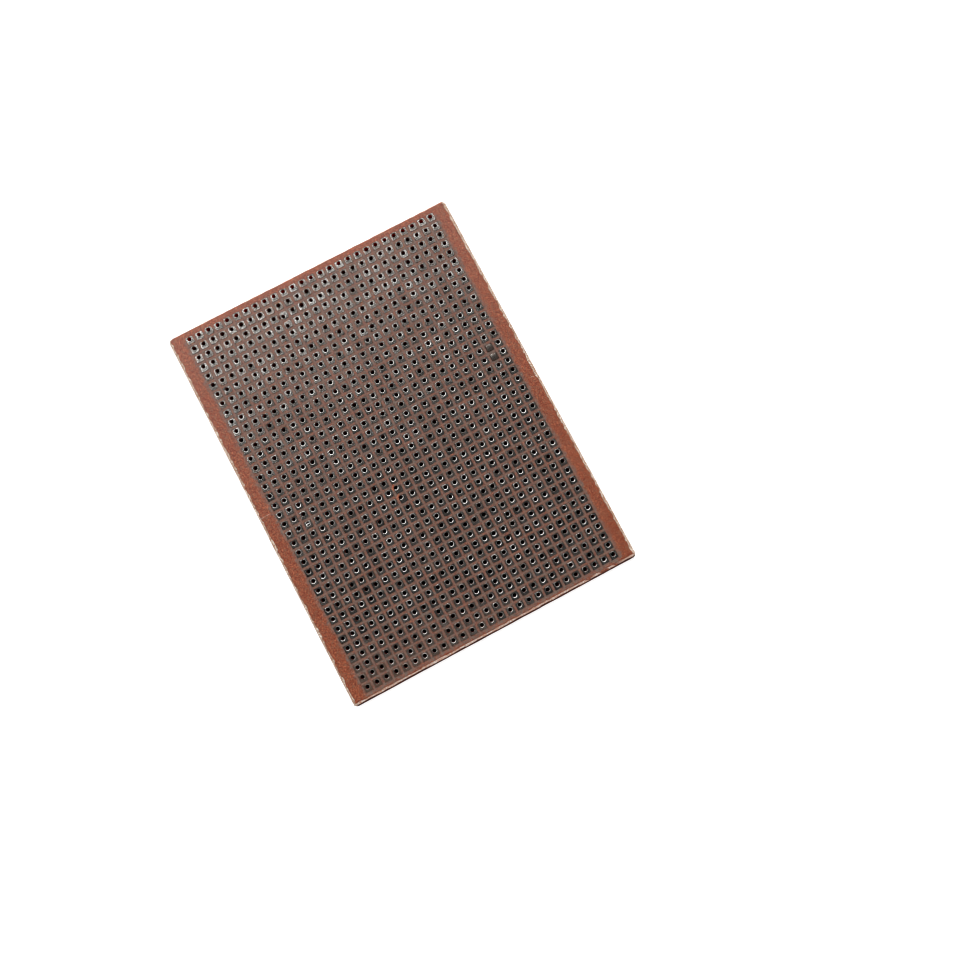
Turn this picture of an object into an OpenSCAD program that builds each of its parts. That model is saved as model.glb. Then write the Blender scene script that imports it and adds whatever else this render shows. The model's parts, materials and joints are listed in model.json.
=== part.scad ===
// Prototype board: a sheet of phenolic paper punched with a grid of lead holes.
// Each hole has a square copper land on the top face, and each land a coat of
// solder that rises to a lip around the hole.
// X runs across the columns, Y along the rows towards the far end, and Z up to
// the copper side. The origin is the middle of the underside.

/* [Hole grid] */
// Distance between the centres of neighbouring holes
pitch = 2.54; // [2.3:0.01:3.2]
// Number of hole columns across the board
columns = 27; // [14:1:28]
// Number of hole rows along the board
rows = 38; // [26:1:50]
// Diameter of a lead hole
hole_d = 1.0; // [0.8:0.05:1.2]

/* [Sheet] */
// Thickness of the phenolic paper sheet
sheet_t = 1.6; // [1.0:0.1:2.4]
// Distance from the first column of holes to the left side
left_margin = 4.9; // [2.5:0.05:10]
// Distance from the last column of holes to the right side
right_margin = 5.0; // [2.5:0.05:10]
// Distance from the first row of holes to the far end
far_margin = 2.3; // [1.6:0.05:10]
// Distance from the last row of holes to the near end
near_margin = 3.15; // [2.2:0.05:10]
// Radius of the sheet's corners, seen from above
corner_r = 1.0; // [0.3:0.1:1.6]

/* [Snapped score] */
// Depth of the score below the top face
score_depth = 0.5; // [0.2:0.05:0.8]
// Width of the slope that the score leaves along the left and right sides
side_slope = 0.7; // [0.2:0.05:1]
// Width of the slope along the far end
far_slope = 0.25; // [0.2:0.05:0.5]
// Width of the slope along the near end
near_slope = 0.8; // [0.2:0.05:0.8]

/* [Copper lands] */
// Side of a square land
land_w = 1.9; // [1.7:0.05:2.1]
// Thickness of the copper foil
foil_t = 0.035; // [0.02:0.005:0.1]
// Shift of the etched lands from their holes, left to right
land_shift_x = 0.03; // [-0.1:0.01:0.1]
// Shift of the etched lands from their holes, near to far
land_shift_y = -0.2; // [-0.25:0.01:0.1]

/* [Solder] */
// Thickness of the solder coat on a land
coat_t = 0.05; // [0.03:0.01:0.15]
// Width of the lip that stands around a hole
lip_w = 0.22; // [0.15:0.01:0.24]
// Height of the lip above the coat
lip_h = 0.1; // [0.05:0.01:0.2]
// Distance from the wall of the hole to the crest of the lip
lip_crest = 0.08; // [0.04:0.01:0.1]
// Width of a web of solder that crosses a hole
web_w = 0.25; // [0.15:0.05:0.4]
// Height of the dome on a hole that solder has filled
dome_h = 0.12; // [0.06:0.01:0.2]
// Gap between the end of a solder plug and the underside
plug_gap = 0.3; // [0.1:0.05:0.6]

/* [Hidden] */
// Columns count from the left side and rows from the far end, both from 1.
// Holes that the punch placed badly: [column, row, shift along X, shift along Y]
stray_holes = [[10, 3, -0.2, -0.5], [10, 4, -0.25, -0.5],
               [12, 23, -0.38, 0.4], [12, 24, -0.38, 0.35]];
// Holes that a web of solder crosses: [column, row, angle of the web]
webbed_holes = [[3, 22, 0], [12, 5, 90]];
// Holes that solder has filled, in the last column but one: [column, row]
filled_holes = [[columns - 1, 15], [columns - 1, 16]];

board_w = left_margin + (columns - 1) * pitch + right_margin;
board_l = near_margin + (rows - 1) * pitch + far_margin;
land_top = sheet_t + foil_t;
coat_top = land_top + coat_t;
hole_r = hole_d / 2;
curve_fn = 24;
past = 1; // how far a cutting shape runs past what it cuts

function two_digits(n) = str(n < 10 ? "0" : "", n);
function lands_name(column) = str("copper_lands_column_", two_digits(column));
function coats_name(column) = str("solder_coats_column_", two_digits(column));

function grid_point(column, row) = [
    left_margin - board_w / 2 + (column - 1) * pitch,
    board_l / 2 - far_margin - (row - 1) * pitch
];
function stray_shift(column, row) = [
    for (s = stray_holes) if (s[0] == column && s[1] == row) [s[2], s[3]]
];
function hole_point(column, row) =
    let (stray = stray_shift(column, row))
    grid_point(column, row) + (len(stray) > 0 ? stray[0] : [0, 0]);
function is_filled(column, row) =
    len([for (f = filled_holes) if (f == [column, row]) f]) > 0;

// ---- The punched sheet ----

module rounded_outline() {
    square([board_w - 2 * corner_r, board_l], center = true);
    square([board_w, board_l - 2 * corner_r], center = true);
    for (x = [-1, 1], y = [-1, 1])
        translate([x * (board_w / 2 - corner_r), y * (board_l / 2 - corner_r)])
            circle(r = corner_r, $fn = curve_fn);
}

// What the score takes off one side: a wedge of the given width, along Y
module score_cut(slope_w, side_x, side_l) {
    translate([side_x, 0, sheet_t])
        rotate([90, 0, 0])
            linear_extrude(side_l + 2 * past, center = true)
                polygon([[-slope_w, 0], [0, -score_depth], [past, -score_depth],
                         [past, past], [-slope_w, past]]);
}

module score_cuts() {
    score_cut(side_slope, board_w / 2, board_l);
    rotate([0, 0, 180]) score_cut(side_slope, board_w / 2, board_l);
    rotate([0, 0, 90]) score_cut(far_slope, board_l / 2, board_w);
    rotate([0, 0, -90]) score_cut(near_slope, board_l / 2, board_w);
}

module laminate() {
    color("#92583f")
        difference() {
            linear_extrude(sheet_t)
                difference() {
                    rounded_outline();
                    for (column = [1:columns], row = [1:rows])
                        translate(hole_point(column, row))
                            circle(r = hole_r, $fn = curve_fn);
                }
            score_cuts();
        }
}

// ---- Copper lands and their solder ----

module land_outline(column, row) {
    translate(grid_point(column, row) + [land_shift_x, land_shift_y])
        square(land_w, center = true);
}

module hole_cut(column, row) {
    translate(concat(hole_point(column, row), [-past]))
        cylinder(r = hole_r, h = coat_top + lip_h + 2 * past, $fn = curve_fn);
}

module copper_lands(column) {
    color("#c07a4a")
        translate([0, 0, sheet_t])
            for (row = [1:rows])
                linear_extrude(foil_t)
                    difference() {
                        land_outline(column, row);
                        translate(hole_point(column, row))
                            circle(r = hole_r, $fn = curve_fn);
                    }
}

// The raised ring of solder around a hole, standing on the coat
module lip(column, row) {
    intersection() {
        translate(concat(hole_point(column, row), [coat_top]))
            rotate_extrude($fn = curve_fn)
                translate([hole_r, 0])
                    polygon([[0, 0], [lip_w, 0], [lip_crest, lip_h]]);
        linear_extrude(coat_top + lip_h + past) land_outline(column, row);
    }
}

module web(column, row, angle) {
    translate(concat(hole_point(column, row), [land_top + coat_t / 2]))
        rotate([0, 0, angle])
            cube([hole_d + lip_crest, web_w, coat_t], center = true);
}

module coat_film(column, row) {
    translate([0, 0, land_top])
        linear_extrude(coat_t) land_outline(column, row);
}

module open_coat(column, row) {
    difference() {
        coat_film(column, row);
        hole_cut(column, row);
    }
    lip(column, row);
    for (w = webbed_holes)
        if (w[0] == column && w[1] == row) web(column, row, w[2]);
}

module solder_coats(column) {
    color("#8f8a86")
        for (row = [1:rows])
            if (!is_filled(column, row)) open_coat(column, row);
}

// ---- Holes that solder has filled ----

// The cap of a sphere, dome_h high and as wide as the lip that it covers
module dome() {
    dome_r = hole_r + lip_w;
    ball_r = (dome_r * dome_r + dome_h * dome_h) / (2 * dome_h);
    intersection() {
        translate([0, 0, dome_h - ball_r]) sphere(r = ball_r, $fn = 2 * curve_fn);
        cylinder(r = dome_r + past, h = dome_h + past, $fn = curve_fn);
    }
}

module solder_plugs() {
    color("#8f8a86")
        for (f = filled_holes) {
            coat_film(f[0], f[1]);
            translate(concat(hole_point(f[0], f[1]), [plug_gap]))
                cylinder(r = hole_r, h = coat_top - plug_gap, $fn = curve_fn);
            translate(concat(hole_point(f[0], f[1]), [coat_top])) dome();
        }
}

laminate();
for (column = [1:columns]) {
    copper_lands(column);
    solder_coats(column);
}
solder_plugs();
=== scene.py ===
"""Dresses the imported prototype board: punched sheet, etched lands, solder coats and a plain studio."""

import json
import math
import random

import bmesh
import bpy
from mathutils import Matrix, Vector, noise


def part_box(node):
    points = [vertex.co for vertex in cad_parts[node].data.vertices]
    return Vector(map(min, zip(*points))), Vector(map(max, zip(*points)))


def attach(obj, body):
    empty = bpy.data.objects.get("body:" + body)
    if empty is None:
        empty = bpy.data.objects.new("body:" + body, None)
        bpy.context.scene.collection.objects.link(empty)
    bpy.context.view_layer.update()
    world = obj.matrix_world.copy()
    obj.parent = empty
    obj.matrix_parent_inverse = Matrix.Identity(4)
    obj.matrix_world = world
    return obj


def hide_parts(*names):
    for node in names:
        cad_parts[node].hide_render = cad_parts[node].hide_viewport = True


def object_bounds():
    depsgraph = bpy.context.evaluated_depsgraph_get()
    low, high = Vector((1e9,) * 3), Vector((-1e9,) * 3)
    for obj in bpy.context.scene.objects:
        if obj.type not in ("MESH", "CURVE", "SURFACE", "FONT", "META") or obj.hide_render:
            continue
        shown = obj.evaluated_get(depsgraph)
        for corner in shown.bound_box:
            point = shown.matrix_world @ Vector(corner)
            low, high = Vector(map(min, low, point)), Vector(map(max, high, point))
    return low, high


bl_info = {
    "name": "Prototype Board Builder",
    "version": (1, 0, 0),
    "blender": (4, 5, 0),
    "location": "3D View > Sidebar > Prototype Board",
    "description": "Builds the sheet, lands, solder and studio of a punched prototype board",
    "category": "Object",
}

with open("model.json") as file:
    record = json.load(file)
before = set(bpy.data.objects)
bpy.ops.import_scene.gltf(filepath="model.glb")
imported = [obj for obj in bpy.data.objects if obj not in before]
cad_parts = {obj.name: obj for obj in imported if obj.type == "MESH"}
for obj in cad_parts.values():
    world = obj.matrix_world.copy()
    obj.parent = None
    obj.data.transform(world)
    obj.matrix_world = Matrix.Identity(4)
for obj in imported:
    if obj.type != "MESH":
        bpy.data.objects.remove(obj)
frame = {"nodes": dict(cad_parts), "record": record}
cad_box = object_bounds()

MM = 0.001
BODY = "root"


# ---- Places and sizes that come from the frame ----


def column_nodes(kind):
    """The frame's nodes of one kind, from the left column to the right one."""
    return sorted(name for name in frame["nodes"] if name.startswith(f"{kind}_column_"))


LAND_NODES = column_nodes("copper_lands")
COAT_NODES = column_nodes("solder_coats")
SHEET_LOW, SHEET_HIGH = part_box("laminate")
FIRST_LOW, FIRST_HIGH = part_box(LAND_NODES[0])
LAST_LOW, LAST_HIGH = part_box(LAND_NODES[-1])
COLUMNS = len(LAND_NODES)
LAND_W = FIRST_HIGH.x - FIRST_LOW.x
PITCH = (LAST_LOW.x - FIRST_LOW.x) / (COLUMNS - 1)
ROWS = round((FIRST_HIGH.y - FIRST_LOW.y - LAND_W) / PITCH) + 1
SHEET_TOP = SHEET_HIGH.z
FOIL_TOP = FIRST_HIGH.z
LIP_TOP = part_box(COAT_NODES[0])[1].z
PLUG_LOW, PLUG_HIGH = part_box("solder_plugs")
LEAD_HOLE = next(mount for mount in frame["record"]["mounts"] if mount["name"] == "lead_hole")
HOLE_R = LEAD_HOLE["dims"]["r_mm"] * MM


def land_point(column, row):
    """Centre of a land. Columns count from the left and rows from the far end, both from 1."""
    x = FIRST_LOW.x + LAND_W / 2 + (column - 1) * PITCH
    y = FIRST_HIGH.y - LAND_W / 2 - (row - 1) * PITCH
    return Vector((x, y))


# The lead hole that the record measures is the one in the middle column, just past the middle row
LAND_SHIFT = land_point((COLUMNS + 1) // 2, ROWS // 2) - Vector(LEAD_HOLE["pos_m"][:2])

# Holes that the punch placed badly: (column, row): shift in millimetres
STRAY_HOLES = {(10, 3): (-0.2, -0.5), (10, 4): (-0.25, -0.5), (12, 23): (-0.38, 0.4), (12, 24): (-0.38, 0.35)}
# Holes that a web of solder crosses: (column, row): its heading and lean in degrees, its tarnish and its flux
WEBBED_HOLES = {(3, 22): (0, -14, 0.0, 0.0), (12, 5): (90, -28, 2.0, 0.2)}
# Holes that solder has filled
FILLED_HOLES = ((COLUMNS - 1, 15), (COLUMNS - 1, 16))
# Holes whose punch bruised the sheet beside them
BRUISED_HOLES = ((12, 23), (12, 24))


def grid_point(column, row):
    """Where the punch should have made a hole."""
    return land_point(column, row) - LAND_SHIFT


def hole_point(column, row):
    """Centre of a hole as the punch made it."""
    shift = STRAY_HOLES.get((column, row), (0, 0))
    return grid_point(column, row) + Vector(shift) * MM


# ---- Colours and materials ----


def linear(code):
    """A linear RGBA colour from an sRGB hex code."""
    channels = [int(code[index : index + 2], 16) / 255 for index in (1, 3, 5)]
    curve = [c / 12.92 if c <= 0.04045 else ((c + 0.055) / 1.055) ** 2.4 for c in channels]
    return (*curve, 1.0)


def colour_property(name, description, code):
    return bpy.props.FloatVectorProperty(
        name=name, description=description, subtype="COLOR", size=4, min=0, max=1, default=linear(code)
    )


def length_property(name, description, millimetres):
    return bpy.props.FloatProperty(
        name=name, description=description, default=millimetres * MM, min=0, unit="LENGTH", precision=5
    )


def add_node(tree, kind, inputs=None, **settings):
    """Adds one node. An input that is given a socket is linked, and any other is set."""
    node = tree.nodes.new(kind)
    for name, value in settings.items():
        setattr(node, name, value)
    for socket, value in (inputs or {}).items():
        if isinstance(value, bpy.types.NodeSocket):
            tree.links.new(value, node.inputs[socket])
        else:
            node.inputs[socket].default_value = value
    return node


MIX_A, MIX_B, MIX_OUT = 6, 7, 2  # the colour sockets of a Mix node


def new_material(name):
    """A material with an empty tree, and its object coordinates in millimetres."""
    material = bpy.data.materials.new(name)
    material.use_nodes = True
    tree = material.node_tree
    tree.nodes.clear()
    coordinates = add_node(tree, "ShaderNodeTexCoord")
    place = add_node(
        tree, "ShaderNodeVectorMath", {0: coordinates.outputs["Object"], "Scale": 1 / MM}, operation="SCALE"
    )
    return material, tree, place.outputs[0]


def finish_material(tree, inputs):
    """Closes a material with its shader and output."""
    shader = add_node(tree, "ShaderNodeBsdfPrincipled", inputs)
    add_node(tree, "ShaderNodeOutputMaterial", {"Surface": shader.outputs[0]})


def speckle(tree, place, per_mm, low, high, detail=2.0):
    """A noise at so many grains per millimetre, stretched between two levels."""
    grain = add_node(tree, "ShaderNodeTexNoise", {"Vector": place, "Scale": per_mm, "Detail": detail})
    level = add_node(
        tree, "ShaderNodeMapRange", {0: grain.outputs["Fac"], 1: low, 2: high, 3: 0.0, 4: 1.0}, clamp=True
    )
    return level.outputs[0]


def blend(tree, fac, low, high):
    """Mixes two colours."""
    mix = add_node(tree, "ShaderNodeMix", {0: fac, MIX_A: low, MIX_B: high}, data_type="RGBA")
    return mix.outputs[MIX_OUT]


def phenolic_skin(colours):
    """Paper phenolic laminate pressed between polished plates: a satin resin skin over mottled paper."""
    material, tree, place = new_material("pressed_phenolic_paper")
    clouds = speckle(tree, place, 0.12, 0.35, 0.65)
    paper = blend(tree, clouds, colours.skin, colours.skin_deep)
    # Paper pulp is a few hundredths of a millimetre wide; its flecks are drawn ten times as coarse to show
    flecks = speckle(tree, place, 2.6, 0.46, 0.64, 5.0)
    specks = speckle(tree, place, 3.3, 0.48, 0.62, 5.0)
    fibres = speckle(tree, place, 2.9, 0.49, 0.6, 4.0)
    pale = blend(tree, flecks, paper, colours.skin_pale)
    flecked = blend(tree, specks, blend(tree, fibres, pale, colours.skin_grey), colours.skin_dark)
    streaks = speckle(tree, place, 2.0, 0.32, 0.68, 4.0)
    axes = add_node(tree, "ShaderNodeSeparateXYZ", {0: place})
    # The film is painted paler towards the near end: painted light that evens out the falloff of the softbox
    # past the far end
    near_end_painted_light = add_node(
        tree, "ShaderNodeMapRange", {0: axes.outputs[1], 1: -45, 2: 30, 3: 0.35, 4: 0}, clamp=True
    )
    paleness_and_painted_light = add_node(
        tree, "ShaderNodeMath", {0: streaks, 1: near_end_painted_light.outputs[0]}, operation="ADD", use_clamp=True
    )
    film = blend(tree, paleness_and_painted_light.outputs[0], colours.film, colours.film_pale)
    patches = speckle(tree, place, 1.2, 0.36, 0.64, 3.0)
    cover = add_node(tree, "ShaderNodeMapRange", {0: patches, 3: 0.38, 4: 0.95})
    film_part = add_node(
        tree, "ShaderNodeMath", {0: film_mask(tree, place), 1: cover.outputs[0]}, operation="MULTIPLY"
    )
    filmed = blend(tree, film_part.outputs[0], flecked, film)
    # The sheet darkens along each land's edge: partly a flux stain and partly painted shade at the land's
    # foot.
    stained_and_shaded = blend(tree, land_edge_stain_and_shade(tree, place), filmed, colours.land_stain_and_shade)
    rough = add_node(tree, "ShaderNodeMapRange", {0: flecks, 3: 0.42, 4: 0.58})
    bump = add_node(tree, "ShaderNodeBump", {"Strength": 0.25, "Distance": 0.01 * MM, "Height": flecks})
    finish_material(
        tree,
        {
            "Base Color": stained_and_shaded,
            "Roughness": rough.outputs[0],
            "Normal": bump.outputs[0],
            "IOR": 1.5,
        },
    )
    return material


def inside_box(tree, place, low, high, soft):
    """1 inside a box seen from above, fading to 0 outside it over a soft border in millimetres."""
    middle = (low + high) / 2 / MM
    half = (high - low) / 2 / MM
    centred = add_node(
        tree, "ShaderNodeVectorMath", {0: place, 1: (middle.x, middle.y, 0)}, operation="SUBTRACT"
    )
    sizes = add_node(tree, "ShaderNodeVectorMath", {0: centred.outputs[0]}, operation="ABSOLUTE")
    axes = add_node(tree, "ShaderNodeSeparateXYZ", {0: sizes.outputs[0]})
    sides = [
        add_node(tree, "ShaderNodeMapRange", {0: axes.outputs[axis], 1: reach, 2: reach + soft, 3: 1, 4: 0})
        for axis, reach in ((0, half.x), (1, half.y))
    ]
    both = add_node(
        tree, "ShaderNodeMath", {0: sides[0].outputs[0], 1: sides[1].outputs[0]}, operation="MULTIPLY"
    )
    return both.outputs[0]


def film_mask(tree, place):
    """1 where flux ran over the sheet: between the lands, and down to the near end, with a cloudy border."""
    low = land_point(1, ROWS) - Vector((0.8, 1.15)) * MM
    high = land_point(COLUMNS, 1) + Vector((0.8, -0.3)) * MM
    box = inside_box(tree, place, low, high, 2.0)
    clouds = speckle(tree, place, 0.8, 0.3, 0.7, 5.0)
    both = add_node(tree, "ShaderNodeMath", {0: clouds, 1: 0.5, 2: box}, operation="MULTIPLY_ADD")
    border = add_node(
        tree, "ShaderNodeMapRange", {0: both.outputs[0], 1: 0.7, 2: 1.05, 3: 0, 4: 1}, clamp=True
    )
    return border.outputs[0]


def land_edge_stain_and_shade(tree, place):
    """1 on the sheet along each land's edge, fading out in 0.15 mm: partly a flux stain and partly painted
    shade at the land's foot.
    """
    first = land_point(1, 1) / MM
    step = PITCH / MM / 2
    edge = LAND_W / MM / 2
    centred = add_node(
        tree, "ShaderNodeVectorMath", {0: place, 1: (first.x, first.y, 0)}, operation="SUBTRACT"
    )
    wrapped = add_node(
        tree,
        "ShaderNodeVectorMath",
        {0: centred.outputs[0], 1: (step, step, 1), 2: (-step, -step, -1)},
        operation="WRAP",
    )
    sizes = add_node(tree, "ShaderNodeVectorMath", {0: wrapped.outputs[0]}, operation="ABSOLUTE")
    axes = add_node(tree, "ShaderNodeSeparateXYZ", {0: sizes.outputs[0]})
    away = add_node(tree, "ShaderNodeMath", {0: axes.outputs[0], 1: axes.outputs[1]}, operation="MAXIMUM")
    stain = add_node(
        tree, "ShaderNodeMapRange", {0: away.outputs[0], 1: edge + 0.03, 2: edge + 0.15, 3: 0.6, 4: 0}
    )
    reach = Vector((LAND_W, LAND_W)) / 2 + Vector((0.2, 0.2)) * MM
    lattice = inside_box(tree, place, land_point(1, ROWS) - reach, land_point(COLUMNS, 1) + reach, 0.05)
    both = add_node(tree, "ShaderNodeMath", {0: stain.outputs[0], 1: lattice}, operation="MULTIPLY")
    return both.outputs[0]


def torn_paper(name, pale, dark):
    """Broken phenolic paper: dry, matt and fibrous, with no resin skin."""
    material, tree, place = new_material(name)
    fibres = speckle(tree, place, 3.2, 0.4, 0.6, 5.0)
    patches = speckle(tree, place, 1.1, 0.4, 0.62)
    colour = blend(tree, fibres, dark, blend(tree, patches, pale, blend(tree, 0.5, pale, dark)))
    bump = add_node(tree, "ShaderNodeBump", {"Strength": 0.6, "Distance": 0.04 * MM, "Height": fibres})
    finish_material(tree, {"Base Color": colour, "Roughness": 0.85, "Normal": bump.outputs[0], "IOR": 1.5})
    return material


def copper_foil(colours):
    """Rolled copper foil, bare only at its etched edges, where it has dulled to a warm brown."""
    material, tree, place = new_material("rolled_copper_foil")
    dulling = speckle(tree, place, 3.0, 0.35, 0.7, 3.0)
    colour = blend(tree, dulling, colours.copper, colours.copper_dull)
    rough = add_node(tree, "ShaderNodeMapRange", {0: dulling, 3: 0.3, 4: 0.55})
    finish_material(tree, {"Base Color": colour, "Metallic": 1.0, "Roughness": rough.outputs[0]})
    return material


def dipped_solder(colours):
    """Hot-dipped tin-lead solder: dull grey films whose rims are painted dark, partly flux burned on and
    partly painted shade, and bright lips of thicker solder.
    """
    material, tree, place = new_material("hot_dipped_solder")
    tarnish_and_shade = add_node(tree, "ShaderNodeAttribute", attribute_name="tarnish_and_shade").outputs["Fac"]
    flux = add_node(tree, "ShaderNodeAttribute", attribute_name="flux").outputs["Fac"]
    grains = speckle(tree, place, 4.2, 0.34, 0.68, 4.0)
    wear_and_shade = add_node(
        tree, "ShaderNodeMath", {0: grains, 1: 0.9, 2: tarnish_and_shade}, operation="MULTIPLY_ADD"
    ).outputs[0]
    dull = add_node(tree, "ShaderNodeMapRange", {0: wear_and_shade, 1: 0.3, 2: 1.05, 3: 0, 4: 1}, clamp=True)
    # Past 1.1 the coat turns to the dark rim colour: partly flux burned on, partly painted shade along the
    # lands' edges.
    burnt_and_shaded = add_node(tree, "ShaderNodeMapRange", {0: wear_and_shade, 1: 1.1, 2: 1.65, 3: 0, 4: 1}, clamp=True)
    film = blend(tree, dull.outputs[0], colours.solder, colours.solder_dull)
    scorched_and_shaded = blend(tree, burnt_and_shaded.outputs[0], film, colours.flux_rim_and_shade)
    colour = blend(tree, flux, scorched_and_shaded, colours.flux)
    metal = add_node(tree, "ShaderNodeMapRange", {0: flux, 3: 1.0, 4: 0.1}, clamp=True)
    rough = add_node(tree, "ShaderNodeMapRange", {0: wear_and_shade, 1: 0, 2: 2.0, 3: 0.11, 4: 0.36}, clamp=True)
    bump = add_node(tree, "ShaderNodeBump", {"Strength": 0.8, "Distance": 0.016 * MM, "Height": grains})
    finish_material(
        tree,
        {
            "Base Color": colour,
            "Metallic": metal.outputs[0],
            "Roughness": rough.outputs[0],
            "Normal": bump.outputs[0],
        },
    )
    return material


def flux_residue(colours):
    """Rosin flux baked onto the sheet until it cracked: dark red-brown and dull."""
    material, tree, place = new_material("baked_flux_residue")
    bubbles = speckle(tree, place, 4.0, 0.4, 0.7)
    colour = blend(tree, bubbles, colours.residue, colours.residue_pale)
    finish_material(tree, {"Base Color": colour, "Roughness": 0.6, "IOR": 1.3})
    return material


# ---- Shared mesh helpers ----

WELD = 1e-6  # vertices closer than a micrometre are one vertex
HOLE_SIDES = 16
TURN = 2 * math.pi / HOLE_SIDES  # from one vertex of a ring to the next
SHARP = math.radians(50)


def verts_of(geometry):
    return [item for item in geometry if isinstance(item, bmesh.types.BMVert)]


def edges_of(geometry):
    return [item for item in geometry if isinstance(item, bmesh.types.BMEdge)]


def faces_of(geometry):
    return [item for item in geometry if isinstance(item, bmesh.types.BMFace)]


def polar(angle, radius):
    return Vector((math.cos(angle), math.sin(angle))) * radius


def circle(bm, centre, radius, z):
    """A ring of edges around a centre, level at z."""
    place = Matrix.Translation((*centre, z))
    made = bmesh.ops.create_circle(bm, segments=HOLE_SIDES, radius=radius, matrix=place)["verts"]
    return list({edge for vert in made for edge in vert.link_edges})


def grow(bm, ring):
    """Extrudes a ring of edges. Returns its new edges, new vertices and new faces."""
    made = bmesh.ops.extrude_edge_only(bm, edges=ring)["geom"]
    fresh = verts_of(made)
    fresh_set = set(fresh)
    edges = [edge for edge in edges_of(made) if fresh_set.issuperset(edge.verts)]
    return edges, fresh, faces_of(made)


def repeat(bm, count, step):
    """Copies all that a bmesh holds, to make count of them, one step apart."""
    geometry = bm.verts[:] + bm.edges[:] + bm.faces[:]
    for index in range(1, count):
        copy = bmesh.ops.duplicate(bm, geom=geometry)["geom"]
        bmesh.ops.translate(bm, verts=verts_of(copy), vec=step * index)


def smooth_by_angle(bm):
    """Smooth faces that keep their sharp edges, and those that are marked sharp."""
    for face in bm.faces:
        face.smooth = True
    for edge in bm.edges:
        edge.smooth = edge.smooth and edge.is_manifold and edge.calc_face_angle() < SHARP


def finished_piece(name, bm, materials, nodes=()):
    """Makes a bmesh an object that rides on the board and stands for CAD nodes."""
    mesh = bpy.data.meshes.new(name)
    bm.to_mesh(mesh)
    bm.free()
    for material in materials:
        mesh.materials.append(material)
    piece = bpy.data.objects.new(name, mesh)
    bpy.context.scene.collection.objects.link(piece)
    if nodes:
        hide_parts(*nodes)
    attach(piece, BODY)


# ---- The sheet ----

SKIN, TORN, SCORED, SHADED, PUNCHED, FRAYED, PAINTED_LIGHT = range(7)  # the sheet's material slots
RIM_CUTS = 2  # extra cuts in each edge of the grid's rim, for sides that chip finely


def punched_cell(centre):
    """One pitch square of the sheet with its hole, open along its four sides."""
    bm = bmesh.new()
    rings = [circle(bm, centre, HOLE_R, z) for z in (0.0, SHEET_TOP)]
    for ring in rings:
        _, corners, _ = grow(bm, ring)
        for vert in corners:
            away = vert.co.xy - centre
            vert.co.xy = centre + away * (PITCH / 2 / max(abs(away.x), abs(away.y)))
    for face in bmesh.ops.bridge_loops(bm, edges=rings[0] + rings[1])["faces"]:
        face.material_index = PUNCHED
    return bm


def move_stray_holes(bm):
    """Shifts the holes that the punch placed badly."""
    for (column, row), shift in STRAY_HOLES.items():
        centre = grid_point(column, row)
        wall = [vert for vert in bm.verts if (vert.co.xy - centre).length < HOLE_R + WELD]
        bmesh.ops.translate(bm, verts=wall, vec=(*(Vector(shift) * MM), 0))


def outline_spot(u, v, inset, corner):
    """A point on the sheet's outline moved in by (side, near, far). u and v run from 0 to 1 across it."""
    side, near, far = inset
    low = Vector((SHEET_LOW.x + side, SHEET_LOW.y + near))
    high = Vector((SHEET_HIGH.x - side, SHEET_HIGH.y - far))
    x = low.x + u * (high.x - low.x)
    y = low.y + v * (high.y - low.y)
    cx = min(max(x, low.x + corner), high.x - corner)
    cy = min(max(y, low.y + corner), high.y - corner)
    dx, dy = x - cx, y - cy
    if abs(dx) >= abs(dy):
        turn = math.pi / 4 * abs(dy / dx)
    else:
        turn = math.pi / 2 - math.pi / 4 * abs(dx / dy)
    arc = polar(turn, corner)
    return Vector((cx + math.copysign(arc.x, dx), cy + math.copysign(arc.y, dy)))


def ragged(x, y, seed, grain):
    """A jagged value from -1 to 1 that holds for about one grain, in metres, then steps."""
    place = Vector((x / grain, y / grain, seed))
    return 0.6 * (2 * noise.cell(place) - 1) + 0.4 * noise.noise(place * 0.35)


EDGE_ON = 0.0005  # how near 0 or 1 a share of the sheet's length is on its ends
# The rings from the skin out to the foot of the score. Each has the shares of the slopes' widths that are
# left on the long sides, the near end and the far end, its drop as a share of the score's depth, how
# ragged it is, the seed of its raggedness, and the slots of the strip inside it on the same three sides.
EDGE_STEPS = (
    ((1.4, 1.45, 1.8), 0.0, 0.0, 2, (SKIN, SKIN, SKIN)),
    ((1.16, 1.24, 1.1), 0.02, 1.0, 3, (SKIN, SKIN, SKIN)),
    # The long sides' strip in this ring takes the shaded slot: a thin dark line of painted shade along the
    # ragged step.
    ((1.09, 1.21, 0.95), 0.06, 1.0, 3, (SHADED, FRAYED, SKIN)),
    ((0.5, 0.7, 0.4), 0.3, 1.0, 4, (TORN, FRAYED, FRAYED)),
    # The near end's strip in this ring takes the shaded slot: dark brown painted shade on the lower slope of
    # the score.
    ((0.03, 0.15, 0.03), 1.0, 0.3, 5, (TORN, SHADED, FRAYED)),
)
CALM = (1.4, 0.55, 0.5)  # how much of the raggedness the long sides, the near end and the far end have
WHOLE_SKIN_FROM = {FRAYED: 0.8, SHADED: 0.88}  # shares of the near end past which skin mostly covers a slot


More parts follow.
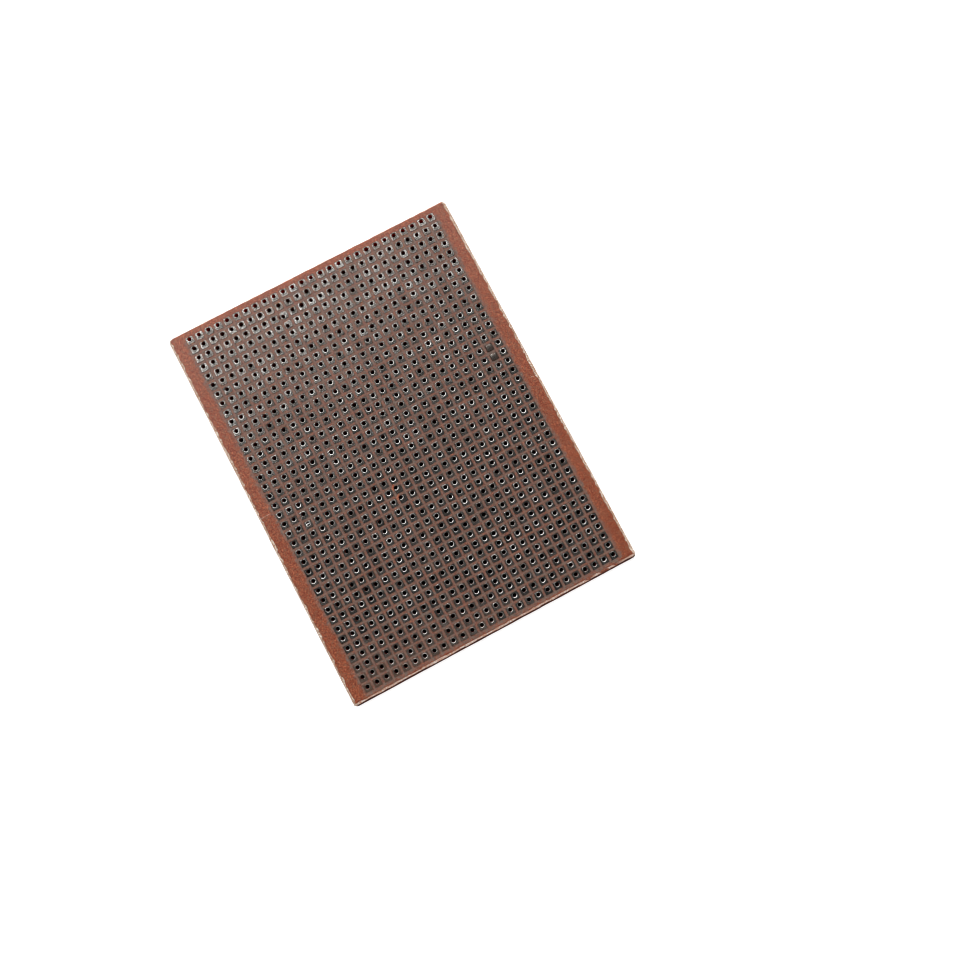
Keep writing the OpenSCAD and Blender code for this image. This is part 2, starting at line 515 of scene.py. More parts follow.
def build_sheet(sizes):
    """The punched sheet, with the sides that scoring and snapping left."""
    bm = punched_cell(hole_point(1, 1))
    repeat(bm, ROWS, Vector((0, -PITCH, 0)))
    repeat(bm, COLUMNS, Vector((PITCH, 0, 0)))
    bmesh.ops.remove_doubles(bm, verts=bm.verts, dist=WELD)
    move_stray_holes(bm)
    # The walls of the first row's holes take the painted-light slot: a brighter red that stands in for light
    # reaching them from the far end.
    for face in bm.faces:
        if face.material_index == PUNCHED and face.calc_center_median().y > hole_point(1, 1).y - PITCH / 2:
            face.material_index = PAINTED_LIGHT
    rim = [edge for edge in bm.edges if edge.is_boundary]
    bmesh.ops.subdivide_edges(bm, edges=rim, cuts=RIM_CUTS)
    rim = [edge for edge in bm.edges if edge.is_boundary]

    low = hole_point(1, ROWS) - Vector((PITCH, PITCH)) / 2
    high = hole_point(COLUMNS, 1) + Vector((PITCH, PITCH)) / 2
    spots = {}
    for edge in rim:
        for vert in edge.verts:
            spots[vert] = ((vert.co.x - low.x) / (high.x - low.x), (vert.co.y - low.y) / (high.y - low.y))

    slopes = (sizes.side_slope, sizes.near_slope, sizes.far_slope)

    def step_out(ring, shares, z, rough, seed, paints):
        """One more ring towards the edge, where the given shares of the slopes' widths are left."""
        edges, fresh, faces = grow(bm, ring)
        for vert in fresh:
            source = next(
                edge.other_vert(vert) for edge in vert.link_edges if edge.other_vert(vert) in spots
            )
            spots[vert] = spots[source]
        for vert in fresh:
            u, v = spots[vert]
            level = outline_spot(u, v, (0, 0, 0), sizes.corner_r)
            wander = rough * sizes.chip * ragged(level.x, level.y, seed, 0.45 * MM)
            inset = [
                max(slope * share + wander * calm, 0) for slope, share, calm in zip(slopes, shares, CALM)
            ]
            corner = max(sizes.corner_r - max(inset), 0.3 * MM)
            vert.co.xy = outline_spot(u, v, inset, corner)
            vert.co.z = z - 0.3 * abs(wander)
        for face in faces:
            u, v = (sum(spots[vert][axis] for vert in face.verts) / len(face.verts) for axis in (0, 1))
            side = 1 if v < EDGE_ON else 2 if v > 1 - EDGE_ON else 0
            face.material_index = paints[side]
            whole_from = WHOLE_SKIN_FROM.get(paints[side], 1)
            if side == 1 and u > whole_from and ragged(u * 0.04, 0, seed, 1 * MM) > -0.2:
                face.material_index = SKIN
        return edges

    bottom = [edge for edge in rim if edge.verts[0].co.z < SHEET_TOP / 2]
    ring = [edge for edge in rim if edge.verts[0].co.z > SHEET_TOP / 2]
    step_out(bottom, (0, 0, 0), 0, 0, 1, (SKIN, SKIN, SKIN))
    for shares, drop, rough, seed, paints in EDGE_STEPS:
        ring = step_out(ring, shares, SHEET_TOP - drop * sizes.score_depth, rough, seed, paints)
    ring = step_out(ring, (0.08, 0.1, 0.2), SHEET_TOP / 2, 0.5, 6, (TORN, SCORED, TORN))
    step_out(ring, (0, 0, 0), 0, 0, 7, (SCORED, SCORED, SCORED))
    bmesh.ops.remove_doubles(bm, verts=bm.verts, dist=WELD)
    bmesh.ops.recalc_face_normals(bm, faces=bm.faces)
    return bm


# ---- Lands and solder ----


def on_square(turn, half, corner):
    """A point of a square with rounded corners. turn counts sixteenths, from the middle of the right side."""
    side, step = divmod(turn, 4)
    quarter = math.pi / 2 * side
    if step == 0:
        return polar(quarter, half)
    centre = polar(quarter + math.pi / 4, (half - corner) * math.sqrt(2))
    return centre + polar(quarter + math.pi / 4 * (step - 1), corner)


def outline_point(land, hole, half, corner, turn):
    """A point of a land's outline, on the hole's rim where the punch broke through the land's edge."""
    angle = turn * TURN
    rim = HOLE_R + 0.01 * MM
    spot = land + on_square(turn, half, corner)
    if reach_in(land, hole, half, angle) < rim and (spot - hole).length < 1.2 * HOLE_R:
        spot = hole + polar(angle, rim)
    return spot


def sixteenth(vert, centre):
    """Which sixteenth of a turn a ring's vertex stands at, before the ring is shaped."""
    away = vert.co.xy - centre
    return round(math.atan2(away.y, away.x) / TURN) % HOLE_SIDES


def build_lands(column, sizes):
    """One column of etched lands, each a closed slip of foil with the hole punched through."""
    bm = bmesh.new()
    half = LAND_W / 2
    for row in range(1, ROWS + 1):
        hole = hole_point(column, row)
        land = land_point(column, row)
        bore = circle(bm, hole, HOLE_R, SHEET_TOP)
        turns = {vert: sixteenth(vert, hole) for edge in bore for vert in edge.verts}
        _, outer, slip = grow(bm, bore)
        for vert in outer:
            vert.co.xy = outline_point(land, hole, half, sizes.land_corner, sixteenth(vert, hole))
        raised = bmesh.ops.extrude_face_region(bm, geom=slip)["geom"]
        bmesh.ops.translate(bm, verts=verts_of(raised), vec=(0, 0, FOIL_TOP - SHEET_TOP))
    bmesh.ops.recalc_face_normals(bm, faces=bm.faces)
    return bm


SHARP_RINGS = (2, 3)  # the rings of a coat that stay sharp edges: where its film ends and its lip starts


def pad_template():
    """Six rings of sixteen vertices that every open coat is shaped from: a closed band around the hole."""
    bm = bmesh.new()
    origin = Vector((0, 0))
    bore = circle(bm, origin, HOLE_R, 0)
    ring = bore
    for step in range(1, 6):
        ring, fresh, _ = grow(bm, ring)
        for vert in fresh:
            vert.co.xy *= 1 + step
        for edge in ring:
            edge.smooth = step not in SHARP_RINGS
    bmesh.ops.bridge_loops(bm, edges=ring + bore)
    mesh = bpy.data.meshes.new("pad_template")
    bm.to_mesh(mesh)
    bm.free()
    return mesh


CORNER_TURN = 10  # the near left corner of a land, where solder beads and the coat is made darker


class PadShape:
    """The chance differences between one solder coat and the next.

    lean and gap are the headings at which the lip sinks, crest and foot its radii, and tilt the slope of
    the film. bead is the solder in the near left corner and corner_darkening how much darker that corner is
    made, the other rounded corners less. dull, bright and flux are the dulling of film and lip and the old
    flux on both."""

    def __init__(self, rng, beaded):
        self.lean = math.radians(rng.uniform(60, 200))
        self.lean_by = rng.uniform(0.5, 1.0)
        self.gap = rng.uniform(0, 2 * math.pi)
        self.gap_by = rng.choice((0, 0, 0, 0.6, 0.9))
        self.crest = rng.uniform(0.59, 0.64) * MM
        self.foot = rng.uniform(0.69, 0.73) * MM
        self.tilt = Vector((rng.uniform(-0.035, 0.035), rng.uniform(-0.03, 0.03)))
        self.bead = max(rng.choice((0, 0, 0, 0.6, 1)), beaded) * rng.uniform(0.6, 1)
        self.corner_darkening = rng.uniform(0.3, 1.0)
        self.dull = rng.uniform(0.2, 0.42)
        self.bright = rng.choice((0, 0.1, 0.3, 0.6, 0.8))
        self.flux = rng.uniform(0.05, 0.32)

    def lip(self, angle):
        """Height of the lip at an angle, as a share of the full height."""
        lean = 1 - self.lean_by * (0.5 + 0.5 * math.cos(angle - self.lean))
        gap = 1 - self.gap_by * max(0, math.cos(angle - self.gap)) ** 3
        return lean * gap


def reach_in(land, hole, half, angle):
    """How far from the hole's centre the land's edge lies, along an angle."""
    away = polar(angle, 1)
    reaches = [
        (math.copysign(half, way) + centre - start) / way
        for way, centre, start in ((away.x, land.x, hole.x), (away.y, land.y, hole.y))
        if abs(way) > 1e-6
    ]
    return min(reaches)


def old_flux(spot):
    """How thick old flux lies on a land: it ran together along the near end, towards the left corner."""
    across = (spot.x - SHEET_LOW.x) / (45 * MM)
    along = (spot.y - SHEET_LOW.y) / (14 * MM)
    return 0.8 * min(max(1.15 - math.hypot(across, along), 0), 1)


def shape_coat(verts, layers, land, hole, sizes, pad, rng):
    """Moves a template's rings to one land and its hole, and says how dull each vertex is, with painted shade
    on the outline.
    """
    tarnish_and_shade_layer, flux_layer = layers
    rings = {}
    for index, vert in enumerate(verts):
        rings.setdefault(index // HOLE_SIDES, []).append(vert)
    half = LAND_W / 2
    coat_top = FOIL_TOP + sizes.coat_t
    lip_h = LIP_TOP - coat_top
    shoulder = sizes.shoulder
    for vert in verts[:HOLE_SIDES]:
        angle = math.atan2(vert.co.y, vert.co.x)
        turn = round(angle / TURN) % HOLE_SIDES
        column = [ring[rings[0].index(vert)] for ring in rings.values()]
        rise = pad.lip(angle)
        edge = reach_in(land, hole, half - shoulder, angle)
        room = max(edge - HOLE_R, 0)
        foot = HOLE_R + min(pad.foot - HOLE_R, 0.8 * room + 0.01 * MM)
        crest = HOLE_R + min(pad.crest - HOLE_R, 0.6 * room + 0.005 * MM)
        rise *= min(room / (0.1 * MM), 1)
        bead = pad.bead if turn == CORNER_TURN else 0
        # The near left corner, and less the other rounded corners, are made darker, less so where solder
        # beads.
        if turn == CORNER_TURN:
            corner_darkening = pad.corner_darkening * (1 - bead)
        else:
            corner_darkening = 0.4 * pad.corner_darkening if turn % 4 == 2 else 0
        outline = outline_point(land, hole, half, sizes.land_corner, turn)
        inner = outline_point(land, hole, half - shoulder, sizes.land_corner - shoulder / 2, turn)
        ripple = rng.uniform(0.94, 1.03)
        outline = land + (outline - land) * ripple
        inner = land + (inner - land) * ripple
        slope = pad.tilt.dot(inner - land)
        chance = rng.uniform(0, 0.3)
        # Place, height and dulling of each ring: out under the film, up its edge and back over the lip. The
        # outline is painted dark: partly flux burned on, partly painted shade along the land's edge.
        spots = (
            (hole + polar(angle, HOLE_R), FOIL_TOP, 0.8),
            (outline, FOIL_TOP, 1.5),
            (inner, coat_top - 0.01 * MM + slope + 0.06 * MM * bead, pad.dull + chance + corner_darkening - 0.3 * bead),
            (hole + polar(angle, foot), coat_top + slope / 2, pad.dull + 0.2 + chance),
            (hole + polar(angle, crest), coat_top + lip_h * rise, pad.bright + 0.4 * (1 - rise)),
            (hole + polar(angle, HOLE_R), coat_top + lip_h * (rise - 0.5), pad.bright),
        )
        flux = pad.flux + old_flux(land)
        for part, (spot, z, tarnish_and_shade) in zip(column, spots):
            part.co = (*spot, z)
            part[tarnish_and_shade_layer] = tarnish_and_shade
            part[flux_layer] = flux if part not in rings[4] else 0.3 * flux


def build_coats(column, sizes, template, rng):
    """One column of solder coats, each a film on its land that rises to a lip around the hole."""
    bm = bmesh.new()
    layers = [bm.verts.layers.float.new(name) for name in ("tarnish_and_shade", "flux")]
    for row in range(1, ROWS + 1):
        pad = PadShape(rng, row == 1 and column > 0.65 * COLUMNS)
        if (column, row) in FILLED_HOLES:
            continue
        before = len(bm.verts)
        bm.from_mesh(template)
        bm.verts.ensure_lookup_table()
        fresh = bm.verts[before:]
        shape_coat(fresh, layers, land_point(column, row), hole_point(column, row), sizes, pad, rng)
    for (web_column, row), (heading, lean, *finish) in WEBBED_HOLES.items():
        if web_column == column:
            across = Matrix.Rotation(math.radians(heading), 4, "Z")
            turns = across @ Matrix.Rotation(math.radians(lean), 4, "X")
            add_web(bm, layers, hole_point(column, row), turns, finish, sizes)
    bmesh.ops.recalc_face_normals(bm, faces=bm.faces)
    smooth_by_angle(bm)
    return bm


def add_web(bm, layers, hole, turns, finish, sizes):
    """A strand of solder that crosses a hole."""
    length = 2 * HOLE_R + 0.08 * MM
    place = Matrix.Translation((*hole, FOIL_TOP + sizes.coat_t / 2)) @ turns
    size = Matrix.Diagonal((length, sizes.web_w, sizes.coat_t, 1))
    made = bmesh.ops.create_cube(bm, size=1, matrix=place @ size)["verts"]
    for vert in made:
        for layer, value in zip(layers, finish):
            vert[layer] = value
    edges = list({edge for vert in made for edge in vert.link_edges})
    bmesh.ops.bevel(
        bm,
        geom=edges,
        offset=0.015 * MM,
        offset_type="OFFSET",
        affect="EDGES",
        segments=2,
        profile=0.5,
        material=-1,
    )


def build_plugs(sizes, rng):
    """The two blobs of solder that fill their holes, each with the coat of its land."""
    bm = bmesh.new()
    layers = [bm.verts.layers.float.new(name) for name in ("tarnish_and_shade", "flux")]
    coat_top = FOIL_TOP + sizes.coat_t
    half = LAND_W / 2
    for column, row in FILLED_HOLES:
        hole = hole_point(column, row)
        land = land_point(column, row)
        ring = circle(bm, hole, HOLE_R, PLUG_LOW.z)
        bmesh.ops.edgeloop_fill(bm, edges=ring)
        dome = PLUG_HIGH.z - coat_top
        # Half width of a square ring or radius of a round one, and height
        profile = (
            (None, HOLE_R, FOIL_TOP),
            (half, None, FOIL_TOP),
            (half - sizes.shoulder, None, coat_top - 0.01 * MM),
            (None, 0.72 * MM, coat_top),
            (None, 0.6 * MM, coat_top + 0.22 * dome),
            (None, 0.42 * MM, coat_top + 0.45 * dome),
            (None, 0.2 * MM, coat_top + 0.55 * dome),
        )
        for square, radius, z in profile:
            turns = {vert: sixteenth(vert, hole) for edge in ring for vert in edge.verts}
            ring, fresh, _ = grow(bm, ring)
            for edge in ring:
                edge.smooth = square is None
            for vert in fresh:
                source = next(
                    edge.other_vert(vert) for edge in vert.link_edges if edge.other_vert(vert) in turns
                )
                turn = turns[source]
                if radius:
                    spot = hole + polar(turn * TURN, radius)
                    lump = 0.02 * MM * noise.noise(Vector((*spot, row)) * 2500)
                    spot += Vector((lump, -lump))
                else:
                    spot = land + on_square(turn, square, sizes.land_corner)
                    lump = 0
                vert.co = (*spot, min(z + abs(lump) * (z > FOIL_TOP), PLUG_HIGH.z - 0.002 * MM))
        bmesh.ops.edgeloop_fill(bm, edges=ring)
    for vert in bm.verts:
        # The shoulder below the coat's top is painted dark like a land's outline: partly flux, partly painted
        # shade.
        vert[layers[0]] = 1.5 if vert.co.z < coat_top - 0.005 * MM else rng.uniform(0.3, 1.1)
        vert[layers[1]] = 0.3
    bmesh.ops.recalc_face_normals(bm, faces=bm.faces)
    smooth_by_angle(bm)
    return bm


# ---- Small marks ----


def add_sliver(bm, centre, length, width, height, angle=0.0):
    """A thin raised strip with its long side at an angle, half sunk into the sheet."""
    place = Matrix.Translation((*centre, SHEET_TOP)) @ Matrix.Rotation(angle, 4, "Z")
    size = Matrix.Diagonal((length, width, 2 * height, 1))
    made = bmesh.ops.create_cube(bm, size=1, matrix=place @ size)["verts"]
    bmesh.ops.subdivide_edges(
        bm, edges=list({edge for vert in made for edge in vert.link_edges}), cuts=3, use_grid_fill=True
    )


def build_scribe_marks():
    """The fibres that a scriber raised across both margins, at the middle of the sheet."""
    bm = bmesh.new()
    y = (land_point(1, ROWS // 2).y + land_point(1, ROWS // 2 + 1).y) / 2 - LAND_SHIFT.y
    left = SHEET_LOW.x
    right = SHEET_HIGH.x
    add_sliver(bm, (left + 1.9 * MM, y), 2.3 * MM, 0.07 * MM, 0.012 * MM, 0.02)
    add_sliver(bm, (right - 1.7 * MM, y), 1.0 * MM, 0.16 * MM, 0.02 * MM, -0.15)
    for vert in bm.verts:
        vert.co.y += 0.03 * MM * noise.noise(vert.co * 1200)
    bmesh.ops.recalc_face_normals(bm, faces=bm.faces)
    return bm


BRUISE_START = 95  # degrees from +X at which a bruise starts
BRUISE_SWEEP = 115  # how far round its hole a bruise goes, in degrees


def build_bruises():
    """Paper that the punch bruised and raised along the far left side of the two worst holes."""
    bm = bmesh.new()
    for column, row in BRUISED_HOLES:
        hole = hole_point(column, row)
        start = polar(math.radians(BRUISE_START), 1)
        # Radius, and height above the sheet in millimetres
        profile = ((HOLE_R + 0.01 * MM, 0.01), (HOLE_R + 0.6 * MM, -0.01), (HOLE_R + 0.12 * MM, 0.04))
        verts = [
            bm.verts.new((*(hole + start * radius), SHEET_TOP + rise * MM)) for radius, rise in profile
        ]
        face = bm.faces.new(verts)
        bmesh.ops.spin(
            bm,
            geom=[face],
            cent=(*hole, 0),
            axis=(0, 0, 1),
            angle=math.radians(BRUISE_SWEEP),
            steps=11,
            use_duplicate=False,
        )
    for vert in bm.verts:
        vert.co.z += 0.015 * MM * noise.noise(vert.co * 4000)
    bmesh.ops.recalc_face_normals(bm, faces=bm.faces)
    return bm


def build_residue():
    """A drop of baked flux beside the hole that the punch placed too near."""
    bm = bmesh.new()
    centre = grid_point(10, 3) + Vector((-1.15, -0.3)) * MM
    made = bmesh.ops.create_icosphere(bm, subdivisions=3, radius=1)["verts"]
    bmesh.ops.scale(bm, verts=made, vec=(0.23 * MM, 0.45 * MM, 0.06 * MM))
    for vert in made:
        swell = 1 + 0.35 * noise.noise(vert.co * 3500)
        vert.co.xy *= swell
    bmesh.ops.translate(bm, verts=made, vec=(*centre, SHEET_TOP))
    for face in bm.faces:
        face.smooth = True
    return bm


# ---- Settings ----


class BoardSizes(bpy.types.PropertyGroup):
    """Sizes of the sheet, lands and solder that the frame doesn't give by itself."""

    corner_r: length_property("Corner radius", "Radius of the sheet's corners", 1.0)
    score_depth: length_property("Score depth", "Depth of the snapped score below the top face", 0.5)
    side_slope: length_property("Side slope", "Width of the slope along the left and right sides", 0.7)
    near_slope: length_property("Near slope", "Width of the slope along the near end", 0.8)
    far_slope: length_property("Far slope", "Width of the slope along the far end", 0.25)
    chip: length_property("Chipping", "How far the torn edge wanders", 0.14)
    land_corner: length_property("Land corner", "Radius of a land's corners", 0.3)
    coat_t: length_property("Coat thickness", "Thickness of the solder film on a land", 0.05)
    shoulder: length_property("Shoulder", "Width of the rounded edge of a solder film", 0.05)
    web_w: length_property("Web width", "Width of a strand of solder across a hole", 0.25)
    seed: bpy.props.IntProperty(
        name="Seed", description="Seed of the chance differences between the coats", default=7, min=0
    )


class BoardColours(bpy.types.PropertyGroup):
    """Colours of the board's finishes."""

    skin: colour_property("Skin", "Resin skin of the sheet", "#a14f34")
    skin_deep: colour_property("Deep skin", "Redder clouds in the skin", "#924127")
    skin_dark: colour_property("Dark specks", "Dark pulp in the skin", "#7a3420")
    skin_grey: colour_property("Grey specks", "Undyed pulp in the skin", "#926047")
    skin_pale: colour_property("Pale flecks", "Pulp that shows through the skin", "#cc7651")
    film: colour_property("Film", "Flux film between the lands", "#56463d")
    film_pale: colour_property("Pale film", "Thick places in the flux film", "#857469")
    # Partly a flux stain and partly painted shade at the foot of each land.
    land_stain_and_shade: colour_property("Land stain", "Stain on the sheet along a land's edge", "#46302a")
    torn: colour_property("Torn paper", "Pale broken paper", "#fff0df")
    torn_dark: colour_property("Torn shade", "Hollows in the broken paper", "#ae7e60")
    scored: colour_property("Scored paper", "Tan wall that the scorer left", "#dcbea8")
    scored_dark: colour_property("Scored shade", "Hollows in the scored wall", "#a47a66")
    # Painted shade: dark browns for the lower slope of the near end's score and for a thin strip along the
    # long sides.
    shaded: colour_property("Near score", "Browned score along the near end", "#6f3c2a")
    shaded_dark: colour_property("Near score shade", "Burnt parts of the near score", "#34150d")
    punched: colour_property("Punched wall", "Red-brown wall of a lead hole", "#8a3420")
    punched_dark: colour_property("Punched shade", "Darkest places in a hole's wall", "#4a160c")
    frayed: colour_property("Frayed paper", "Dry white paper that the snap bared at both ends", "#fff2e6")
    frayed_dark: colour_property("Frayed shade", "Resin left in the frayed paper", "#cf9476")
    # Painted light: a brighter red for the walls of the first row's holes, standing in for light reaching
    # them from the far end.
    painted_light_wall: colour_property("Lit wall", "Wall of a hole that light soaks into from the far end", "#d8452c")
    painted_light_wall_dark: colour_property("Lit shade", "Darkest places in a lit wall", "#8a2415")
    bruise: colour_property("Bruise", "Paper that the punch bared beside a hole", "#c08464")
    copper: colour_property("Copper", "Fresh copper foil", "#c98457")
    copper_dull: colour_property("Dull copper", "Oxidised copper foil", "#7d4a30")
    solder: colour_property("Solder", "Clean tin-lead solder", "#c8c7c4")
    solder_dull: colour_property("Dull solder", "Oxidised film of solder on a land", "#7b7975")
    flux: colour_property("Flux", "Old flux dried on the solder", "#6a5040")
    # Partly flux burned onto a land's rim and partly painted shade along its edge.
    flux_rim_and_shade: colour_property("Flux rim", "Flux burnt onto a land's rim", "#29221f")
    residue: colour_property("Residue", "Baked flux", "#200301")
    residue_pale: colour_property("Thin residue", "Thin places in the baked flux", "#4a1007")
    floor: colour_property("Floor", "Pale studio floor", "#f4f4f4")
    # Painted shadow for the floor right under the board.
    floor_shade: colour_property("Floor shade", "Floor right under the board", "#241c18")


# ---- Operators ----


class PROTOBOARD_OT_stage(bpy.types.Operator):
    """Camera, softbox, plain room light and a pale floor"""

    bl_idname = "protoboard.stage"
    bl_label = "Stage"

    def execute(self, context):
        add_camera(context.scene)
        # A wide softbox past the far end, whose near edge leaves the room overhead dim
        add_lamp("far_softbox", 100, 43.5, 0.75, (1.5, 0.54), 2.9)
        add_world(context.scene)
        add_floor(context.scene.protoboard_colours)
        context.scene.view_settings.view_transform = "Standard"
        # A narrow filter keeps the small holes crisp
        context.scene.cycles.filter_width = 1.0
        return {"FINISHED"}


class PROTOBOARD_OT_sheet(bpy.types.Operator):
    """Punched sheet of phenolic paper with scored, snapped sides"""

    bl_idname = "protoboard.sheet"
    bl_label = "Sheet"

    def execute(self, context):
        colours = context.scene.protoboard_colours
        materials = (
            phenolic_skin(colours),
            torn_paper("snapped_phenolic_paper", colours.torn, colours.torn_dark),
            torn_paper("scored_phenolic_paper", colours.scored, colours.scored_dark),
            # Painted shade on the near end's lower slope and along the long sides.
            torn_paper("painted_shade_phenolic_score", colours.shaded, colours.shaded_dark),
            torn_paper("punched_phenolic_paper", colours.punched, colours.punched_dark),
            torn_paper("frayed_phenolic_paper", colours.frayed, colours.frayed_dark),
            # Painted light on the walls of the first row's holes.
            torn_paper("painted_light_phenolic_paper", colours.painted_light_wall, colours.painted_light_wall_dark),
        )
        bm = build_sheet(context.scene.protoboard_sizes)
        finished_piece("punched_sheet", bm, materials, ["laminate"])
        return {"FINISHED"}


class PROTOBOARD_OT_lands(bpy.types.Operator):
    """Etched copper lands, one piece for each column of holes"""

    bl_idname = "protoboard.lands"
    bl_label = "Copper lands"

    def execute(self, context):
        materials = (copper_foil(context.scene.protoboard_colours),)
        for column, node in enumerate(LAND_NODES, 1):
            bm = build_lands(column, context.scene.protoboard_sizes)
            finished_piece(f"etched_lands_{column:02d}", bm, materials, [node])
        return {"FINISHED"}


class PROTOBOARD_OT_coats(bpy.types.Operator):
    """Solder coats with a lip around each hole, one piece for each column of holes"""

    bl_idname = "protoboard.coats"
    bl_label = "Solder coats"

    def execute(self, context):
        sizes = context.scene.protoboard_sizes
        materials = (dipped_solder(context.scene.protoboard_colours),)
        template = pad_template()
        rng = random.Random(sizes.seed)
        for column, node in enumerate(COAT_NODES, 1):
            bm = build_coats(column, sizes, template, rng)
            finished_piece(f"dipped_coats_{column:02d}", bm, materials, [node])
        finished_piece("hole_plugs", build_plugs(sizes, rng), materials, ["solder_plugs"])
        return {"FINISHED"}


class PROTOBOARD_OT_marks(bpy.types.Operator):
    """Scribe marks, bruises beside holes and a drop of baked flux"""

    bl_idname = "protoboard.marks"
    bl_label = "Marks and flaws"

    def execute(self, context):
        colours = context.scene.protoboard_colours
        pale = torn_paper("raised_phenolic_fibres", colours.torn, colours.torn_dark)
        finished_piece("scribe_marks", build_scribe_marks(), (pale,))
        bruised = torn_paper("bruised_phenolic_paper", colours.bruise, colours.skin)
        finished_piece("bruised_rims", build_bruises(), (bruised,))
        finished_piece("flux_drop", build_residue(), (flux_residue(colours),))
        return {"FINISHED"}


# ---- Stage ----


def add_camera(scene):
    """Looks almost straight down, from just past the near half of the board."""
    data = bpy.data.cameras.new("camera")
    data.sensor_width = 36
    data.lens = 27.03
    data.clip_start = 0.001
    camera = bpy.data.objects.new("camera", data)
    camera.location = Vector((5.52, -26.27, 174.43)) * MM
    camera.rotation_euler = [math.radians(turn) for turn in (4.266, -0.601, -28.0)]
    scene.collection.objects.link(camera)
    scene.camera = camera


def add_lamp(name, heading, tilt, distance, size, radiance):
    """A softbox that faces the board: heading from +X, tilt from overhead, in degrees."""
    data = bpy.data.lights.new(name, "AREA")
    data.shape = "RECTANGLE"
    data.size, data.size_y = size
    data.energy = radiance * math.pi * data.size * data.size_y
    lamp = bpy.data.objects.new(name, data)
    out = polar(math.radians(heading), math.sin(math.radians(tilt)))
    place = Vector((out.x, out.y, math.cos(math.radians(tilt)))) * distance
    lamp.location = place
    lamp.rotation_euler = place.to_track_quat("Z", "Y").to_euler()
    bpy.context.scene.collection.objects.link(lamp)


def background_rays(tree, gloss=1.0):
    """1 for a ray that sees the plain background, and the given share of it for a glossy ray."""
    path = add_node(tree, "ShaderNodeLightPath")
    seen = add_node(
        tree,
        "ShaderNodeMath",
        {0: path.outputs["Is Glossy Ray"], 1: gloss, 2: path.outputs["Is Camera Ray"]},
        operation="MULTIPLY_ADD",
    )
    rays = add_node(
        tree,
        "ShaderNodeMath",
        {0: seen.outputs[0], 1: path.outputs["Is Transmission Ray"]},
        operation="ADD",
        use_clamp=True,
    )
    return rays.outputs[0]


def add_world(scene):
    """A room that is dim overhead and light near the floor, most on the right, with a white backdrop.

    Gloss sees the backdrop low down and the dim ceiling above it, as the solder on a bench does."""
    world = bpy.data.worlds.new("plain_room")
    world.use_nodes = True
    tree = world.node_tree
    tree.nodes.clear()
    coordinates = add_node(tree, "ShaderNodeTexCoord")
    height = add_node(
        tree,
        "ShaderNodeVectorMath",
        {0: coordinates.outputs["Generated"], 1: (-0.3, 0.0, 1.0)},
        operation="DOT_PRODUCT",
    )
    room = add_node(
        tree, "ShaderNodeMapRange", {0: height.outputs["Value"], 1: 0.3, 2: 0.72, 3: 0.9, 4: 0.03}, clamp=True
    )
    light = add_node(tree, "ShaderNodeBackground", {"Color": (1, 1, 1, 1), "Strength": room.outputs[0]})
    white = add_node(tree, "ShaderNodeBackground", {"Color": (1, 1, 1, 1), "Strength": 1.0})
    backdrop = add_node(
        tree, "ShaderNodeMapRange", {0: height.outputs["Value"], 1: 0.06, 2: 0.3, 3: 1.0, 4: 0.0}, clamp=True
    )
    rays = background_rays(tree, backdrop.outputs[0])
    mix = add_node(tree, "ShaderNodeMixShader", {0: rays, 1: light.outputs[0], 2: white.outputs[0]})
    add_node(tree, "ShaderNodeOutputWorld", {"Surface": mix.outputs[0]})
    scene.world = world


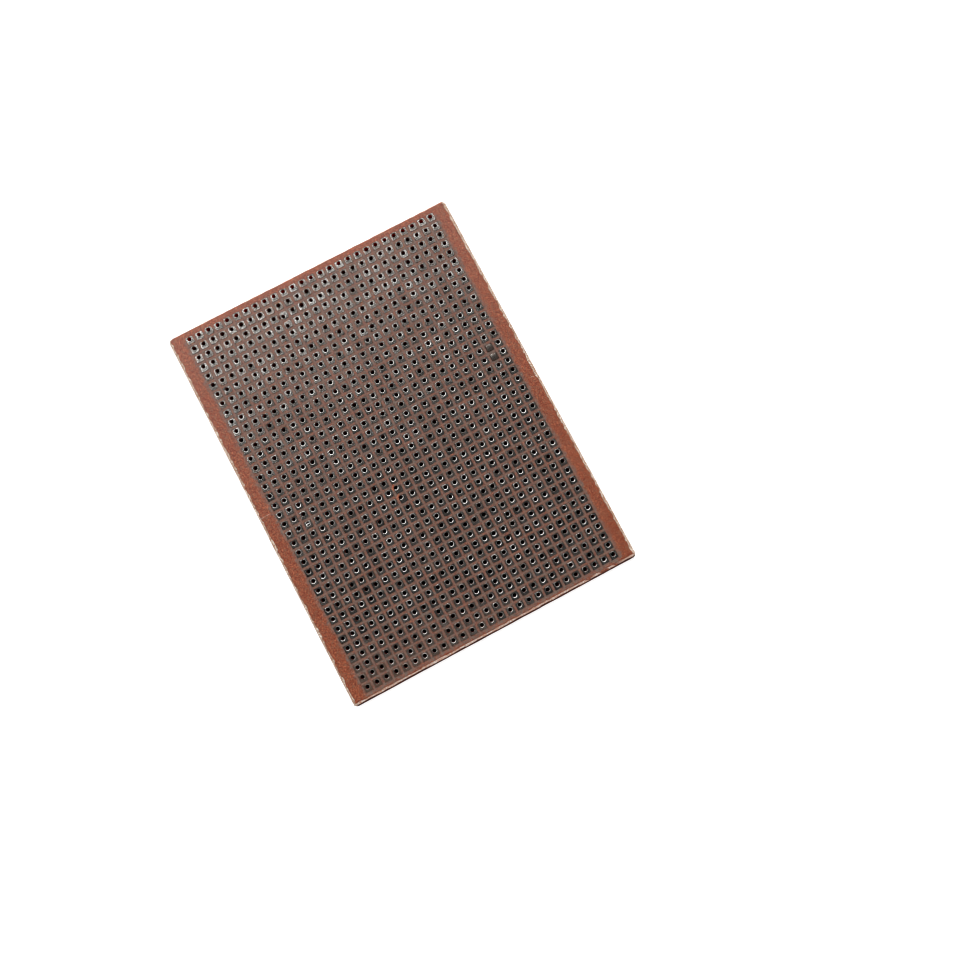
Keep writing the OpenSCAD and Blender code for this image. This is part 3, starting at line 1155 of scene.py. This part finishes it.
def add_floor(colours):
    """Pale paper floor that the camera sees as white, with a painted shadow under the board so that no hole
    glows.
    """
    bm = bmesh.new()
    bmesh.ops.create_grid(bm, x_segments=1, y_segments=1, size=3.0)
    mesh = bpy.data.meshes.new("floor")
    bm.to_mesh(mesh)
    bm.free()
    floor = bpy.data.objects.new("floor", mesh)
    bpy.context.scene.collection.objects.link(floor)
    material, tree, place = new_material("pale_floor_paper")
    inset = Vector((0.4, 0.4)) * MM
    under = inside_box(tree, place, cad_box[0].xy + inset, cad_box[1].xy - inset, 0.1)
    lift = add_node(tree, "ShaderNodeMath", {0: under, 1: -0.75, 2: 0.75}, operation="MULTIPLY_ADD")
    glow = add_node(
        tree, "ShaderNodeMath", {0: background_rays(tree), 1: lift.outputs[0]}, operation="MULTIPLY"
    )
    # Painted shadow: the floor under the board is dark, and its white glow is taken away there.
    shade = blend(tree, under, colours.floor, colours.floor_shade)
    paper = add_node(tree, "ShaderNodeBsdfDiffuse", {"Color": shade})
    white = add_node(tree, "ShaderNodeEmission", {"Color": (1, 1, 1, 1), "Strength": glow.outputs[0]})
    both = add_node(tree, "ShaderNodeAddShader", {0: paper.outputs[0], 1: white.outputs[0]})
    add_node(tree, "ShaderNodeOutputMaterial", {"Surface": both.outputs[0]})
    mesh.materials.append(material)


# ---- Panel and registration ----

OPERATORS = (
    PROTOBOARD_OT_stage,
    PROTOBOARD_OT_sheet,
    PROTOBOARD_OT_lands,
    PROTOBOARD_OT_coats,
    PROTOBOARD_OT_marks,
)


class PROTOBOARD_PT_panel(bpy.types.Panel):
    """Lists the board's pieces and their settings"""

    bl_idname = "PROTOBOARD_PT_panel"
    bl_label = "Prototype Board"
    bl_space_type = "VIEW_3D"
    bl_region_type = "UI"
    bl_category = "Prototype Board"

    def draw(self, context):
        for settings in (context.scene.protoboard_sizes, context.scene.protoboard_colours):
            box = self.layout.box()
            for name in settings.bl_rna.properties.keys():
                if name not in {"rna_type", "name"}:
                    box.prop(settings, name)
        for operator in OPERATORS:
            self.layout.operator(operator.bl_idname)


CLASSES = (BoardSizes, BoardColours, *OPERATORS, PROTOBOARD_PT_panel)


def register():
    for item in CLASSES:
        bpy.utils.register_class(item)
    bpy.types.Scene.protoboard_sizes = bpy.props.PointerProperty(type=BoardSizes)
    bpy.types.Scene.protoboard_colours = bpy.props.PointerProperty(type=BoardColours)


def unregister():
    del bpy.types.Scene.protoboard_colours
    del bpy.types.Scene.protoboard_sizes
    for item in reversed(CLASSES):
        bpy.utils.unregister_class(item)


def main():
    register()
    bpy.ops.protoboard.stage()
    bpy.ops.protoboard.sheet()
    bpy.ops.protoboard.lands()
    bpy.ops.protoboard.coats()
    bpy.ops.protoboard.marks()


if __name__ == "__main__":
    main()
